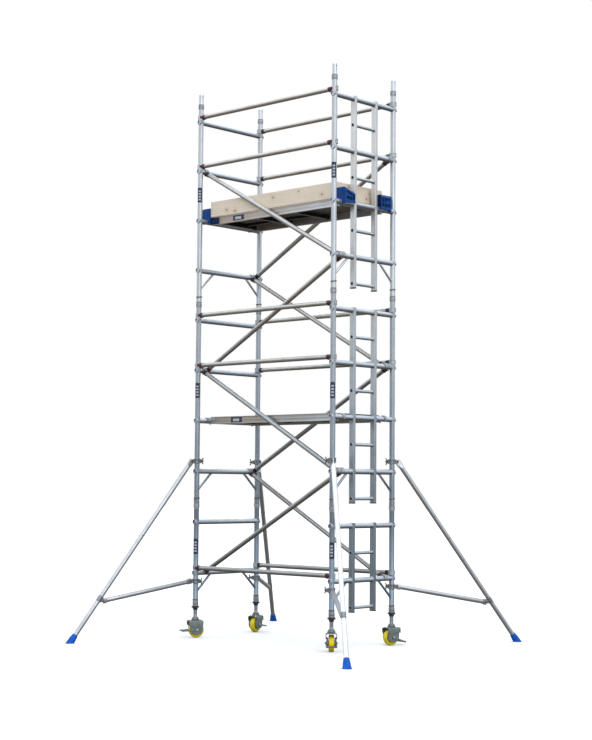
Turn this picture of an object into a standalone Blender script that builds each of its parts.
"""Mobile tower scaffold: three lifts of aluminium end frames, the right-hand end with a built-in ladder,
joined by clip-on braces, with two trapdoor platforms, toe boards, four stabilisers and four braked castors
on adjustable legs.

Metres, +Z up.  The origin is on the ground, in the middle of the ground that the stabilisers stand on.
X runs along the bay, from the plain end frames (left) to the ladder end frames (right); -Y is the front.
"""
import math

import bmesh
import bpy
from mathutils import Matrix, Vector

# ---------------------------------------------------------------- driving dimensions
BAY_LENGTH = 1.80
BAY_WIDTH = 0.85
RUNG_PITCH = 0.50
LOWEST_RUNG = 0.63
FRAME_LEVELS = {"base": (0, 1), "middle": (2, 3, 4, 5), "top": (6, 7, 8, 9)}
LEG_RADIUS = 0.0254
RUNG_RADIUS = 0.025
LEG_BOTTOM = 0.365
CLEARANCE = 0.0005
WELD = 0.002
LEG_BAND = 0.002
LEG_BAND_HEIGHT = 0.012
BAR_SIDES = 8
FINE_SIDES = 12

# spigot joint between two lifts, above the top rung of the lower frame
LEG_ABOVE_RUNG = 0.130
COLLAR_HEIGHT = 0.055
COLLAR_RADIUS = 0.0275
SPIGOT_LENGTH = 0.100
SPIGOT_RADIUS = 0.0214
SOCKET_RADIUS = 0.0226
SOCKET_DEPTH = 0.125
LEG_SOCKET_DEPTH = 0.235

KNEE_BRACE_LEVELS = (0, 2, 6)
KNEE_BRACE_RUN = 0.200
KNEE_BRACE_DROP = 0.185
KNEE_BRACE_RADIUS = 0.0125

LADDER_STILE_OFFSET = 0.150
LADDER_STILE_SIZE = (0.054, 0.032)
LADDER_STILE_TAIL = 0.045
LADDER_RUNG_RADIUS = 0.016

BRACE_RADIUS = 0.022
CLAW_REACH = 0.0335
CLAW_RADIUS = 0.0360
CLAW_BORE = 0.0260
CLAW_WIDTH = 0.050
LEG_CLAW_HEIGHT = 0.044
HORIZONTAL_LEVELS = (0, 4, 5, 8, 9)
HORIZONTAL_RISE = 0.050
DIAGONAL_LEVELS = (8, 6, 4, 2, 0)
DIAGONAL_OFFSETS = (0.360, 0.312)

PLATFORM_LEVELS = {"lower": 3, "upper": 7}
PLATFORM_HALF_WIDTH = 0.310
PLATFORM_HALF_LENGTH = 0.835
PLATFORM_TOP = 0.040
BEAM_HEIGHT = 0.070
BEAM_WIDTH = 0.028
CROSS_BEAM_HEIGHT = 0.040
DECK_THICKNESS = 0.010
HATCH_FROM = 0.200
HATCH_TO = 0.812
DOOR_GAP = 0.004

TOE_BOARD_HEIGHT = 0.155
TOE_BOARD_THICKNESS = 0.024
TOE_BOARD_SEAT = 0.003
TOE_BOARD_OUTER = 0.328
TOE_BOARD_END = 0.846

# toe board clips: saddles over the end rungs; heights are from the rung's centre
CLIP_NEAR = 0.848
CLIP_FAR = 0.960
CLIP_OUTER = 0.338
CLIP_INNER = 0.190
CLIP_PLATE = 0.022
CLIP_WALL = 0.020
CLIP_FOOT = -0.018
CLIP_ROOF = 0.040
CLIP_TOP = 0.136
CLIP_SLOPED_TOP = 0.100
CLIP_ARCH = 0.027
CLIP_ARCH_CORNER = 0.012
CLIP_WALL_DROP = 0.006
CLIP_LAP = 0.005
BRIDGE_OUTER = 0.300
BRIDGE_RISE = 0.013

# adjustable leg and castor
STEM_RADIUS = 0.019
STEM_BOTTOM = 0.190
STEM_TOP = 0.550
NUT_RADIUS = 0.0275
NUT_HUB_RADIUS = 0.0245
NUT_FLANGE_RADIUS = 0.0385
NUT_FLANGE_FROM = 0.020
NUT_FLANGE_TO = 0.036
NUT_HEIGHT = 0.095
NUT_BORE = 0.0204
KINGPIN_RADIUS = 0.009
WHEEL_RADIUS = 0.075
WHEEL_WIDTH = 0.050
HUB_WIDTH = 0.074
CASTOR_TRAIL = 0.010
AXLE_RADIUS = 0.006
FORK_HALF_WIDTH = 0.045
FORK_PLATE = 0.005
COVER_HALF_LENGTH = 0.072
COVER_OVERHANG = 0.007
COVER_RISE = 0.024
SKIRT_BOTTOM = 0.118
CHEEK_HALF_LENGTH = 0.062
CHEEK_DROP = 0.043
LEVER_LENGTH = 0.155

# stabilisers
STRUT_RADIUS = 0.022
UPPER_CLAMP = 1.730
LOWER_CLAMP = 0.550
CLAMP_HEIGHT = 0.046
CLAMP_RADIUS = 0.036
CLAMP_BORE = 0.0266
FOOT_REACH = 1.320
FOOT_LENGTH = 0.090
FOOT_RADIUS = 0.045
STAY_POINT = 0.765

CORNERS = ("front_left", "back_left", "front_right", "back_right")
CORNER_SIGNS = {"front_left": (-1, -1), "back_left": (-1, 1), "front_right": (1, -1), "back_right": (1, 1)}
STRUT_BEARINGS = {"front_left": -106.0, "back_left": 126.0, "front_right": -42.5, "back_right": 62.0}
CASTOR_BEARINGS = {"front_left": 241.0, "back_left": 106.0, "front_right": -47.0, "back_right": 78.0}
LEVER_DROPS = {"front_left": 3.0, "back_left": 8.0, "front_right": 8.0, "back_right": 18.0}

# ---------------------------------------------------------------- materials
COLOURS = {
    "aluminium": ((0.72, 0.75, 0.79, 1.0), 0.35, 0.9),
    "brace_aluminium": ((0.66, 0.65, 0.63, 1.0), 0.4, 0.9),
    "zinc_steel": ((0.42, 0.46, 0.47, 1.0), 0.45, 0.8),
    "blue_rubber": ((0.01, 0.14, 0.75, 1.0), 0.6, 0.0),
    "yellow_tyre": ((0.85, 0.70, 0.02, 1.0), 0.5, 0.0),
    "pine": ((0.82, 0.68, 0.50, 1.0), 0.6, 0.0),
    "plywood": ((0.16, 0.11, 0.08, 1.0), 0.7, 0.0),
}


def make_material(name):
    colour, roughness, metallic = COLOURS[name]
    material = bpy.data.materials.new(name)
    material.use_nodes = True
    shader = material.node_tree.nodes["Principled BSDF"]
    shader.inputs["Base Color"].default_value = colour
    shader.inputs["Roughness"].default_value = roughness
    shader.inputs["Metallic"].default_value = metallic
    material.diffuse_color = colour
    return material


# ---------------------------------------------------------------- closed lumps that nodes are made of
def loft(rings, loop=False):
    """A closed skin through rings of equal counts; capped at both ends, or joined end to start."""
    bm = bmesh.new()
    rows = [[bm.verts.new(point) for point in ring] for ring in rings]
    pairs = list(zip(rows, rows[1:]))
    if loop:
        pairs.append((rows[-1], rows[0]))
    else:
        bm.faces.new(rows[0])
        bm.faces.new(rows[-1])
    for lower, upper in pairs:
        count = len(lower)
        for i in range(count):
            j = (i + 1) % count
            bm.faces.new((lower[i], lower[j], upper[j], upper[i]))
    bmesh.ops.recalc_face_normals(bm, faces=bm.faces)
    return bm


def circle(radius, sides, height=0.0):
    step = 2 * math.pi / sides
    return [Vector((radius * math.cos(i * step), radius * math.sin(i * step), height)) for i in range(sides)]


def tube(start, end, radius, sides=BAR_SIDES):
    """A straight round bar between two points."""
    start = Vector(start)
    along = Vector(end) - start
    turn = along.to_track_quat("Z", "Y")
    base = [turn @ point + start for point in circle(radius, sides)]
    return loft([base, [point + along for point in base]])


def turned(profile, sides=16, loop=False):
    """A body turned about Z from (radius, height) points; a loop profile leaves a bore."""
    return loft([circle(radius, sides, height) for radius, height in profile], loop)


def box(low, high):
    corners = [(low[0], low[1]), (high[0], low[1]), (high[0], high[1]), (low[0], high[1])]
    return loft([[Vector((x, y, z)) for x, y in corners] for z in (low[2], high[2])])


def slab(outline, low, high):
    """An outline in the XZ plane, extruded along Y from low to high."""
    return loft([[Vector((x, y, z)) for x, z in outline] for y in (low, high)])


def jaw(centre, inner, outer, first, last, steps=6):
    """Outline of a C-shaped jaw about a centre, between two angles in degrees.

    Its flats keep to the two radii.
    """
    angles = [math.radians(first + (last - first) * i / steps) for i in range(steps + 1)]
    stretch = 1 / math.cos(math.radians((last - first) / steps / 2))
    inner *= stretch
    outer *= stretch
    arc = [(centre[0] + outer * math.cos(a), centre[1] + outer * math.sin(a)) for a in angles]
    back = [(centre[0] + inner * math.cos(a), centre[1] + inner * math.sin(a)) for a in reversed(angles)]
    return arc + back


def moved(lump, matrix):
    bmesh.ops.transform(lump, matrix=matrix, verts=lump.verts)
    return lump


def flat_jaw(centre, inner, outer, first, last, low, high):
    """A jaw lying in the XY plane, from one height to another."""
    outline = jaw(centre, inner, outer, first, last)
    return loft([[Vector((x, y, z)) for x, y in outline] for z in (low, high)])


# ---------------------------------------------------------------- nodes
def mesh_of(name, lumps):
    whole = bmesh.new()
    for lump in lumps:
        piece = bpy.data.meshes.new("piece")
        lump.to_mesh(piece)
        lump.free()
        whole.from_mesh(piece)
        bpy.data.meshes.remove(piece)
    mesh = bpy.data.meshes.new(name)
    whole.to_mesh(mesh)
    whole.free()
    mesh.shade_smooth()
    mesh.set_sharp_from_angle(angle=math.radians(35))
    return mesh


def tool(name, lumps, parent):
    """A hidden operand for a Boolean."""
    helper = bpy.data.objects.new(name, mesh_of(name, lumps))
    bpy.context.collection.objects.link(helper)
    helper.hide_render = True
    helper.display_type = "WIRE"
    helper.parent = parent
    return helper


def node(name, lumps, material, parent, location=(0, 0, 0), cuts=()):
    """One named solid: its lumps welded together, less its cuts."""
    body = bpy.data.objects.new(name, mesh_of(name, lumps[:1]))
    bpy.context.collection.objects.link(body)
    body.parent = parent
    body.location = location
    body.data.materials.append(MATERIALS[material])
    operations = (("UNION", lumps[1:]), ("DIFFERENCE", list(cuts)))
    for operation, pieces in operations:
        if not pieces:
            continue
        helper = tool(name + "_" + operation.lower(), pieces, parent)
        helper.location = location
        boolean = body.modifiers.new(operation.lower(), "BOOLEAN")
        boolean.operation = operation
        boolean.solver = "EXACT"
        boolean.use_self = True
        boolean.object = helper
    return body


def empty(name, parent=None, location=(0, 0, 0), bearing=0.0):
    holder = bpy.data.objects.new(name, None)
    bpy.context.collection.objects.link(holder)
    holder.parent = parent
    holder.location = location
    holder.rotation_euler = (0, 0, math.radians(bearing))
    return holder


def rung_height(level):
    return LOWEST_RUNG + RUNG_PITCH * level


def joint_height(level):
    """Where the upper frame's legs stand on the collar above this rung."""
    return rung_height(level) + LEG_ABOVE_RUNG + COLLAR_HEIGHT


# ---------------------------------------------------------------- end frames
def leg_lumps(y, bottom, top_level):
    shoulder = rung_height(top_level) + LEG_ABOVE_RUNG
    profile = [
        (LEG_RADIUS + LEG_BAND, bottom),
        (LEG_RADIUS + LEG_BAND, bottom + LEG_BAND_HEIGHT),
        (LEG_RADIUS, bottom + LEG_BAND_HEIGHT),
        (LEG_RADIUS, shoulder),
        (COLLAR_RADIUS, shoulder),
        (COLLAR_RADIUS, shoulder + COLLAR_HEIGHT - CLEARANCE),
        (SPIGOT_RADIUS, shoulder + COLLAR_HEIGHT - CLEARANCE),
        (SPIGOT_RADIUS, shoulder + COLLAR_HEIGHT + SPIGOT_LENGTH),
    ]
    return moved(turned(profile, BAR_SIDES), Matrix.Translation((0, y, 0)))


def knee_braces(height):
    half = BAY_WIDTH / 2
    for side in (-1, 1):
        foot = (0, side * (half - 0.012), height - KNEE_BRACE_DROP)
        head = (0, side * (half - KNEE_BRACE_RUN), height - 0.012)
        yield tube(foot, head, KNEE_BRACE_RADIUS, 5)


def ladder_lumps(levels):
    depth, width = LADDER_STILE_SIZE
    top = rung_height(levels[-1]) + RUNG_RADIUS + 0.002
    lowest = rung_height(levels[0]) - RUNG_PITCH / 2
    for side in (-1, 1):
        y = side * LADDER_STILE_OFFSET
        low = (-depth / 2, y - width / 2, lowest - LADDER_STILE_TAIL)
        yield box(low, (depth / 2, y + width / 2, top))
    reach = LADDER_STILE_OFFSET + width / 2 + 0.001
    for level in levels:
        height = rung_height(level) - RUNG_PITCH / 2
        yield tube((0, -reach, height), (0, reach, height), LADDER_RUNG_RADIUS, 6)


def end_frame(name, x, lift, with_ladder):
    levels = FRAME_LEVELS[lift]
    half = BAY_WIDTH / 2
    bottom = LEG_BOTTOM if lift == "base" else joint_height(levels[0] - 1)
    depth = LEG_SOCKET_DEPTH if lift == "base" else SOCKET_DEPTH
    lumps = [leg_lumps(-half, bottom, levels[-1]), leg_lumps(half, bottom, levels[-1])]
    reach = half + LEG_RADIUS + 0.005
    for level in levels:
        height = rung_height(level)
        lumps.append(tube((0, -reach, height), (0, reach, height), RUNG_RADIUS))
        if level in KNEE_BRACE_LEVELS:
            lumps.extend(knee_braces(height))
    if with_ladder:
        lumps.extend(ladder_lumps(levels))
    cuts = []
    for y in (-half, half):
        cuts.append(tube((0, y, bottom - 0.01), (0, y, bottom + depth), SOCKET_RADIUS, FINE_SIDES))
    node(name, lumps, "aluminium", TOWER, (x, 0, 0), cuts)


# ---------------------------------------------------------------- braces
def horizontal_brace(side, level):
    """A rail between the legs of one face, with a sideways jaw round each leg."""
    y = side * BAY_WIDTH / 2
    height = rung_height(level) + HORIZONTAL_RISE
    half = BAY_LENGTH / 2
    first, last = (-25, 205) if side < 0 else (-205, 25)
    lumps = [tube((CLAW_REACH - half, 0, 0), (half - CLAW_REACH, 0, 0), BRACE_RADIUS)]
    for x in (-half, half):
        low = -LEG_CLAW_HEIGHT / 2
        lumps.append(flat_jaw((x, 0), CLAW_BORE, CLAW_RADIUS, first, last, low, -low))
    face = "front" if side < 0 else "back"
    node(f"horizontal_brace_{face}_{level + 1}", lumps, "brace_aluminium", TOWER, (0, y, height))


def diagonal_braces(side, start):
    """Four braces in a zigzag; neighbours hook side by side on the rung that they share."""
    half = BAY_LENGTH / 2
    lumps = []
    x = start * half
    for index, (upper, lower) in enumerate(zip(DIAGONAL_LEVELS, DIAGONAL_LEVELS[1:])):
        y = side * DIAGONAL_OFFSETS[index % 2]
        high = Vector((x, y, rung_height(upper)))
        low = Vector((-x, y, rung_height(lower)))
        along = (low - high).normalized()
        start_point = high + along * CLAW_REACH
        lumps.append(tube(start_point, low - along * CLAW_REACH, BRACE_RADIUS))
        spans = ((high, (-50, 190) if x < 0 else (-10, 230)), (low, (-10, 190)))
        for hook, (first, last) in spans:
            outline = jaw((hook.x, hook.z), CLAW_BORE, CLAW_RADIUS, first, last)
            lumps.append(slab(outline, y - CLAW_WIDTH / 2, y + CLAW_WIDTH / 2))
        x = -x
    face = "front" if side < 0 else "back"
    node("diagonal_braces_" + face, lumps, "brace_aluminium", TOWER)


# ---------------------------------------------------------------- platforms
def platform(name, level):
    height = rung_height(level)
    top = PLATFORM_TOP
    length = PLATFORM_HALF_LENGTH
    width = PLATFORM_HALF_WIDTH
    inner = width - BEAM_WIDTH
    under = top - DECK_THICKNESS - CLEARANCE
    lumps = []
    for side in (-1, 1):
        low, high = sorted((side * inner, side * width))
        lumps.append(box((-length, low, top - BEAM_HEIGHT), (length, high, top)))
        for end in (-1, 1):
            start, stop = (145, -30) if end > 0 else (210, 35)
            outline = jaw((end * BAY_LENGTH / 2, 0), CLAW_BORE, CLAW_RADIUS, start, stop)
            lumps.append(slab(outline, low, high))
            tongue = sorted((end * (length - 0.010), end * (BAY_LENGTH / 2 - 0.028)))
            lumps.append(box((tongue[0], low, 0.004), (tongue[1], high, 0.030)))
    crossings = (-length + 0.015, -0.32, HATCH_FROM - 0.015, length - 0.015)
    for x in crossings:
        low = (x - 0.015, -inner - 0.005, under - CROSS_BEAM_HEIGHT)
        lumps.append(box(low, (x + 0.015, inner + 0.005, under)))
    # a fixed strip under the end toe board, so that the door clears that board
    strip_low = (HATCH_TO + DOOR_GAP, -inner - 0.005, under - 0.004)
    lumps.append(box(strip_low, (length, inner + 0.005, top)))
    node("platform_frame_" + name, lumps, "aluminium", TOWER, (0, 0, height))

    edge = inner - 0.001
    deck_low = (-length + 0.002, -edge, under + CLEARANCE)
    deck = box(deck_low, (HATCH_FROM - DOOR_GAP, edge, top))
    node("platform_deck_" + name, [deck], "plywood", TOWER, (0, 0, height))

    # the door's origin is on its hinge line, along the back edge of the hatch
    door_length = HATCH_TO - HATCH_FROM
    panel = box((0, -2 * edge + DOOR_GAP, -DECK_THICKNESS), (door_length, -DOOR_GAP, 0))
    hinges = []
    for x in (0.12, door_length - 0.12):
        hinges.append(tube((x - 0.03, -0.005, 0.0015), (x + 0.03, -0.005, 0.0015), 0.0035, 6))
    place = (HATCH_FROM, edge, height + top)
    node("trapdoor_" + name, [panel] + hinges, "plywood", TOWER, place)


def clip_lumps(end, side, height):
    """A saddle on the end board: it stands over the end rung, astride the platform's hook.

    Its top slopes down inwards at the front (side -1) and stays level at the back.
    """
    near = CLIP_NEAR - BAY_LENGTH / 2
    far = CLIP_FAR - BAY_LENGTH / 2
    arch = CLIP_ARCH
    corner = CLIP_ARCH_CORNER
    outline = [(near, CLIP_FOOT), (-arch, CLIP_FOOT), (-arch, corner), (-corner, arch), (corner, arch)]
    outline += [(arch, corner), (arch, CLIP_FOOT), (far, CLIP_FOOT), (far, CLIP_TOP), (near, CLIP_TOP)]
    outline = [(end * (BAY_LENGTH / 2 + x), height + z) for x, z in outline]
    plate = sorted((side * CLIP_OUTER, side * (CLIP_OUTER - CLIP_PLATE)))

    x_low, x_high = sorted((end * CLIP_NEAR, end * CLIP_FAR))
    outside = side * (CLIP_OUTER - CLIP_PLATE + WELD)
    inside = side * CLIP_INNER
    inside_top = CLIP_SLOPED_TOP if side < 0 else CLIP_TOP
    roof = []
    for y, top in ((outside, CLIP_TOP), (inside, inside_top)):
        under = height + CLIP_ROOF
        top += height
        corners = [(x_low, under), (x_high, under), (x_high, top), (x_low, top)]
        roof.append([Vector((x, y, z)) for x, z in corners])

    y_low, y_high = sorted((inside, outside))
    x_wall = sorted((end * (CLIP_FAR - CLIP_WALL), end * CLIP_FAR))
    wall_bottom = height - CLIP_WALL_DROP
    wall_top = height + CLIP_ROOF + CLIP_LAP
    wall = box((x_wall[0], y_low, wall_bottom), (x_wall[1], y_high, wall_top))

    y_low, y_high = sorted((side * (CLIP_INNER + CLIP_LAP), side * BRIDGE_OUTER))
    x_low, x_high = sorted((end * (TOE_BOARD_END - CLIP_LAP), end * (CLIP_NEAR + WELD)))
    z_low = height + CLIP_ROOF + BRIDGE_RISE
    z_high = height + CLIP_SLOPED_TOP - CLIP_LAP
    bridge = box((x_low, y_low, z_low), (x_high, y_high, z_high))
    return [slab(outline, *plate), loft(roof), wall, bridge]


def toe_boards(level):
    seat = rung_height(level) + PLATFORM_TOP + TOE_BOARD_SEAT
    top = seat + TOE_BOARD_HEIGHT
    outer = TOE_BOARD_OUTER
    inner = outer - TOE_BOARD_THICKNESS
    for side, name in ((-1, "front"), (1, "back")):
        low, high = sorted((side * inner, side * outer))
        board = box((-TOE_BOARD_END, low, seat), (TOE_BOARD_END, high, top))
        node("toe_board_" + name, [board], "pine", TOWER)
    for end, name in ((-1, "left"), (1, "right")):
        near = end * (TOE_BOARD_END - 0.003 - TOE_BOARD_THICKNESS)
        far = end * (TOE_BOARD_END - 0.003)
        x_low, x_high = sorted((near, far))
        lumps = [box((x_low, -inner + 0.001, seat), (x_high, inner - 0.001, top))]
        for side in (-1, 1):
            lumps.extend(clip_lumps(end, side, rung_height(level)))
        node("toe_board_" + name, lumps, "pine", TOWER)


# ---------------------------------------------------------------- adjustable legs and castors
def adjustable_leg(corner):
    sign_x, sign_y = CORNER_SIGNS[corner]
    foot = empty("corner_" + corner, TOWER, (sign_x * BAY_LENGTH / 2, sign_y * BAY_WIDTH / 2, 0))
    stem = [
        (KINGPIN_RADIUS, STEM_BOTTOM - 0.028),
        (KINGPIN_RADIUS, STEM_BOTTOM),
        (0.030, STEM_BOTTOM),
        (0.030, STEM_BOTTOM + 0.008),
        (STEM_RADIUS, STEM_BOTTOM + 0.008),
        (STEM_RADIUS, STEM_TOP),
    ]
    node("adjustable_leg_" + corner, [turned(stem, FINE_SIDES)], "zinc_steel", foot)

    bottom = LEG_BOTTOM - CLEARANCE - NUT_HEIGHT
    nut = [
        (NUT_BORE, 0),
        (NUT_HUB_RADIUS, 0),
        (NUT_HUB_RADIUS, NUT_FLANGE_FROM),
        (NUT_FLANGE_RADIUS, NUT_FLANGE_FROM),
        (NUT_FLANGE_RADIUS, NUT_FLANGE_TO),
        (NUT_RADIUS, NUT_FLANGE_TO),
        (NUT_RADIUS, NUT_HEIGHT),
        (NUT_BORE, NUT_HEIGHT),
    ]
    node("collar_nut_" + corner, [turned(nut, FINE_SIDES, loop=True)], "aluminium", foot, (0, 0, bottom))

    castor = empty("castor_" + corner, foot, bearing=CASTOR_BEARINGS[corner])
    castor_fork(corner, castor)
    castor_wheel(corner, castor)
    brake_lever(corner, castor)


def castor_fork(corner, parent):
    """A skirted cover and two cheeks over the wheel, with its axle; the cheeks end in half ellipses."""
    half = FORK_HALF_WIDTH
    top = STEM_BOTTOM - CLEARANCE
    deck = top - COVER_RISE
    cheek = []
    for i in range(9):
        angle = math.pi + i * math.pi / 8
        along = CHEEK_HALF_LENGTH * math.cos(angle) - CASTOR_TRAIL / 2
        cheek.append((along, WHEEL_RADIUS + CHEEK_DROP * math.sin(angle)))
    for along in (CHEEK_HALF_LENGTH, -CHEEK_HALF_LENGTH):
        cheek.append((along - CASTOR_TRAIL / 2, deck))
    wide = half + COVER_OVERHANG
    lumps = [box((-COVER_HALF_LENGTH, -wide, deck - 0.004), (COVER_HALF_LENGTH, wide, deck + WELD))]
    for side in (-1, 1):
        low, high = sorted((side * half, side * (half - FORK_PLATE)))
        lumps.append(slab(cheek, low, high))
        low, high = sorted((side * (half - 0.001), side * wide))
        lumps.append(box((-COVER_HALF_LENGTH, low, SKIRT_BOTTOM), (COVER_HALF_LENGTH, high, deck + 0.001)))
    lumps.append(turned([(0.034, deck), (0.036, top)], FINE_SIDES))
    reach = half + 0.012
    axle_start = (-CASTOR_TRAIL, -reach, WHEEL_RADIUS)
    lumps.append(tube(axle_start, (-CASTOR_TRAIL, reach, WHEEL_RADIUS), AXLE_RADIUS))
    hole = tube((0, 0, deck - 0.02), (0, 0, top + 0.01), KINGPIN_RADIUS + 0.001, FINE_SIDES)
    node("castor_fork_" + corner, lumps, "zinc_steel", parent, cuts=[hole])


def castor_wheel(corner, parent):
    hub = HUB_WIDTH / 2
    rim = WHEEL_WIDTH / 2
    profile = [
        (AXLE_RADIUS + 0.0015, -hub),
        (0.018, -hub),
        (0.018, -rim),
        (WHEEL_RADIUS - 0.008, -rim),
        (WHEEL_RADIUS, -rim + 0.008),
        (WHEEL_RADIUS, rim - 0.008),
        (WHEEL_RADIUS - 0.008, rim),
        (0.018, rim),
        (0.018, hub),
        (AXLE_RADIUS + 0.0015, hub),
    ]
    wheel = moved(turned(profile, 16, loop=True), Matrix.Rotation(math.radians(90), 4, "X"))
    place = (-CASTOR_TRAIL, 0, WHEEL_RADIUS)
    node("castor_wheel_" + corner, [wheel], "yellow_tyre", parent, place)


def brake_lever(corner, parent):
    """A bail on the axle's ends, outside the fork's cheeks, with a foot bar across its end."""
    start = FORK_HALF_WIDTH + 0.0008
    stop = start + 0.005
    lumps = []
    for side in (-1, 1):
        low, high = sorted((side * start, side * stop))
        lumps.append(slab([(-0.014, -0.013), (0.02, -0.013), (LEVER_LENGTH, -0.008),
                           (LEVER_LENGTH, 0.008), (0.02, 0.013), (-0.014, 0.013)], low, high))
    bar = box((LEVER_LENGTH - 0.024, -stop, -0.005), (LEVER_LENGTH + 0.004, stop, 0.006))
    lumps.append(bar)
    hole = tube((0, -stop - 0.01, 0), (0, stop + 0.01, 0), AXLE_RADIUS + 0.001)
    lever = node("brake_lever_" + corner, lumps, "zinc_steel", parent, cuts=[hole])
    holder = empty("axle_" + corner, parent, (-CASTOR_TRAIL, 0, WHEEL_RADIUS))
    holder.rotation_euler = (0, math.radians(LEVER_DROPS[corner]), 0)
    for piece in [lever] + [modifier.object for modifier in lever.modifiers]:
        piece.parent = holder


# ---------------------------------------------------------------- stabilisers
def clamp_lumps(height):
    """A coupler round the leg: a closed ring with a lug on the strut's side."""
    low = height - CLAMP_HEIGHT / 2
    high = height + CLAMP_HEIGHT / 2
    profile = [(CLAMP_BORE, low), (CLAMP_RADIUS, low), (CLAMP_RADIUS, high), (CLAMP_BORE, high)]
    lug = box((CLAMP_RADIUS - 0.006, -0.011, low + 0.006), (0.062, 0.011, high - 0.006))
    return [turned(profile, FINE_SIDES, loop=True), lug]


def stabiliser(corner):
    sign_x, sign_y = CORNER_SIGNS[corner]
    place = (sign_x * BAY_LENGTH / 2, sign_y * BAY_WIDTH / 2, 0)
    holder = empty("stabiliser_" + corner, TOWER, place, STRUT_BEARINGS[corner])
    head = Vector((0.060, 0, UPPER_CLAMP))
    toe = Vector((FOOT_REACH, 0, 0))
    along = (toe - head).normalized()
    ankle = toe - along * (FOOT_LENGTH * 0.55)

    strut = clamp_lumps(UPPER_CLAMP)
    strut.append(tube(head + along * 0.030, ankle, STRUT_RADIUS))
    strut.append(tube(head - along * 0.012, head + along * 0.060, 0.015, 6))
    knee = head + (toe - head) * STAY_POINT
    strut.append(box(knee + Vector((-0.052, -0.010, -0.030)), knee + Vector((0.002, 0.010, 0.006))))
    node("stabiliser_strut_" + corner, strut, "aluminium", holder)

    stay = clamp_lumps(LOWER_CLAMP)
    inner = Vector((0.058, 0, LOWER_CLAMP))
    outer = knee + Vector((-0.0555, 0, -0.016))
    run = (outer - inner).normalized()
    stay.append(tube(inner + run * 0.030, outer - run * 0.002, STRUT_RADIUS))
    stay.append(tube(inner - run * 0.012, inner + run * 0.060, 0.015, 6))
    node("stabiliser_stay_" + corner, stay, "aluminium", holder)

    turn = Vector((0, 0, 1)).rotation_difference(-along)
    base = circle(FOOT_RADIUS, FINE_SIDES)
    cuff_centre = toe - along * FOOT_LENGTH
    start = toe - along * (FOOT_LENGTH * 0.55) + along * CLEARANCE
    sole = [point + toe for point in base]
    shin = [turn @ (point * (0.0275 / FOOT_RADIUS)) + cuff_centre for point in base]
    bore = [turn @ (point * ((STRUT_RADIUS + 0.0008) / FOOT_RADIUS)) + cuff_centre for point in base]
    seat = [turn @ (point * ((STRUT_RADIUS + 0.0008) / FOOT_RADIUS)) + start for point in base]
    foot = loft([sole, shin, bore, seat])
    node("stabiliser_foot_" + corner, [foot], "blue_rubber", holder)


def footprint_centre():
    """Middle of the ground that the stabilisers' feet cover, seen from the middle of the bay."""
    xs = []
    ys = []
    for corner, (sign_x, sign_y) in CORNER_SIGNS.items():
        bearing = math.radians(STRUT_BEARINGS[corner])
        xs.append(sign_x * BAY_LENGTH / 2 + FOOT_REACH * math.cos(bearing))
        ys.append(sign_y * BAY_WIDTH / 2 + FOOT_REACH * math.sin(bearing))
    return (min(xs) + max(xs)) / 2, (min(ys) + max(ys)) / 2


def build():
    for x, end in ((-1, "left"), (1, "ladder")):
        for lift in FRAME_LEVELS:
            end_frame(f"frame_{lift}_{end}", x * BAY_LENGTH / 2, lift, end == "ladder")
    for side in (-1, 1):
        for level in HORIZONTAL_LEVELS:
            horizontal_brace(side, level)
        diagonal_braces(side, side)
    for name, level in PLATFORM_LEVELS.items():
        platform(name, level)
    toe_boards(PLATFORM_LEVELS["upper"])
    for corner in CORNERS:
        adjustable_leg(corner)
        stabiliser(corner)


for old in list(bpy.data.objects):
    bpy.data.objects.remove(old, do_unlink=True)
MATERIALS = {name: make_material(name) for name in COLOURS}
CENTRE_X, CENTRE_Y = footprint_centre()
TOWER = empty("tower", location=(-CENTRE_X, -CENTRE_Y, 0))
build()
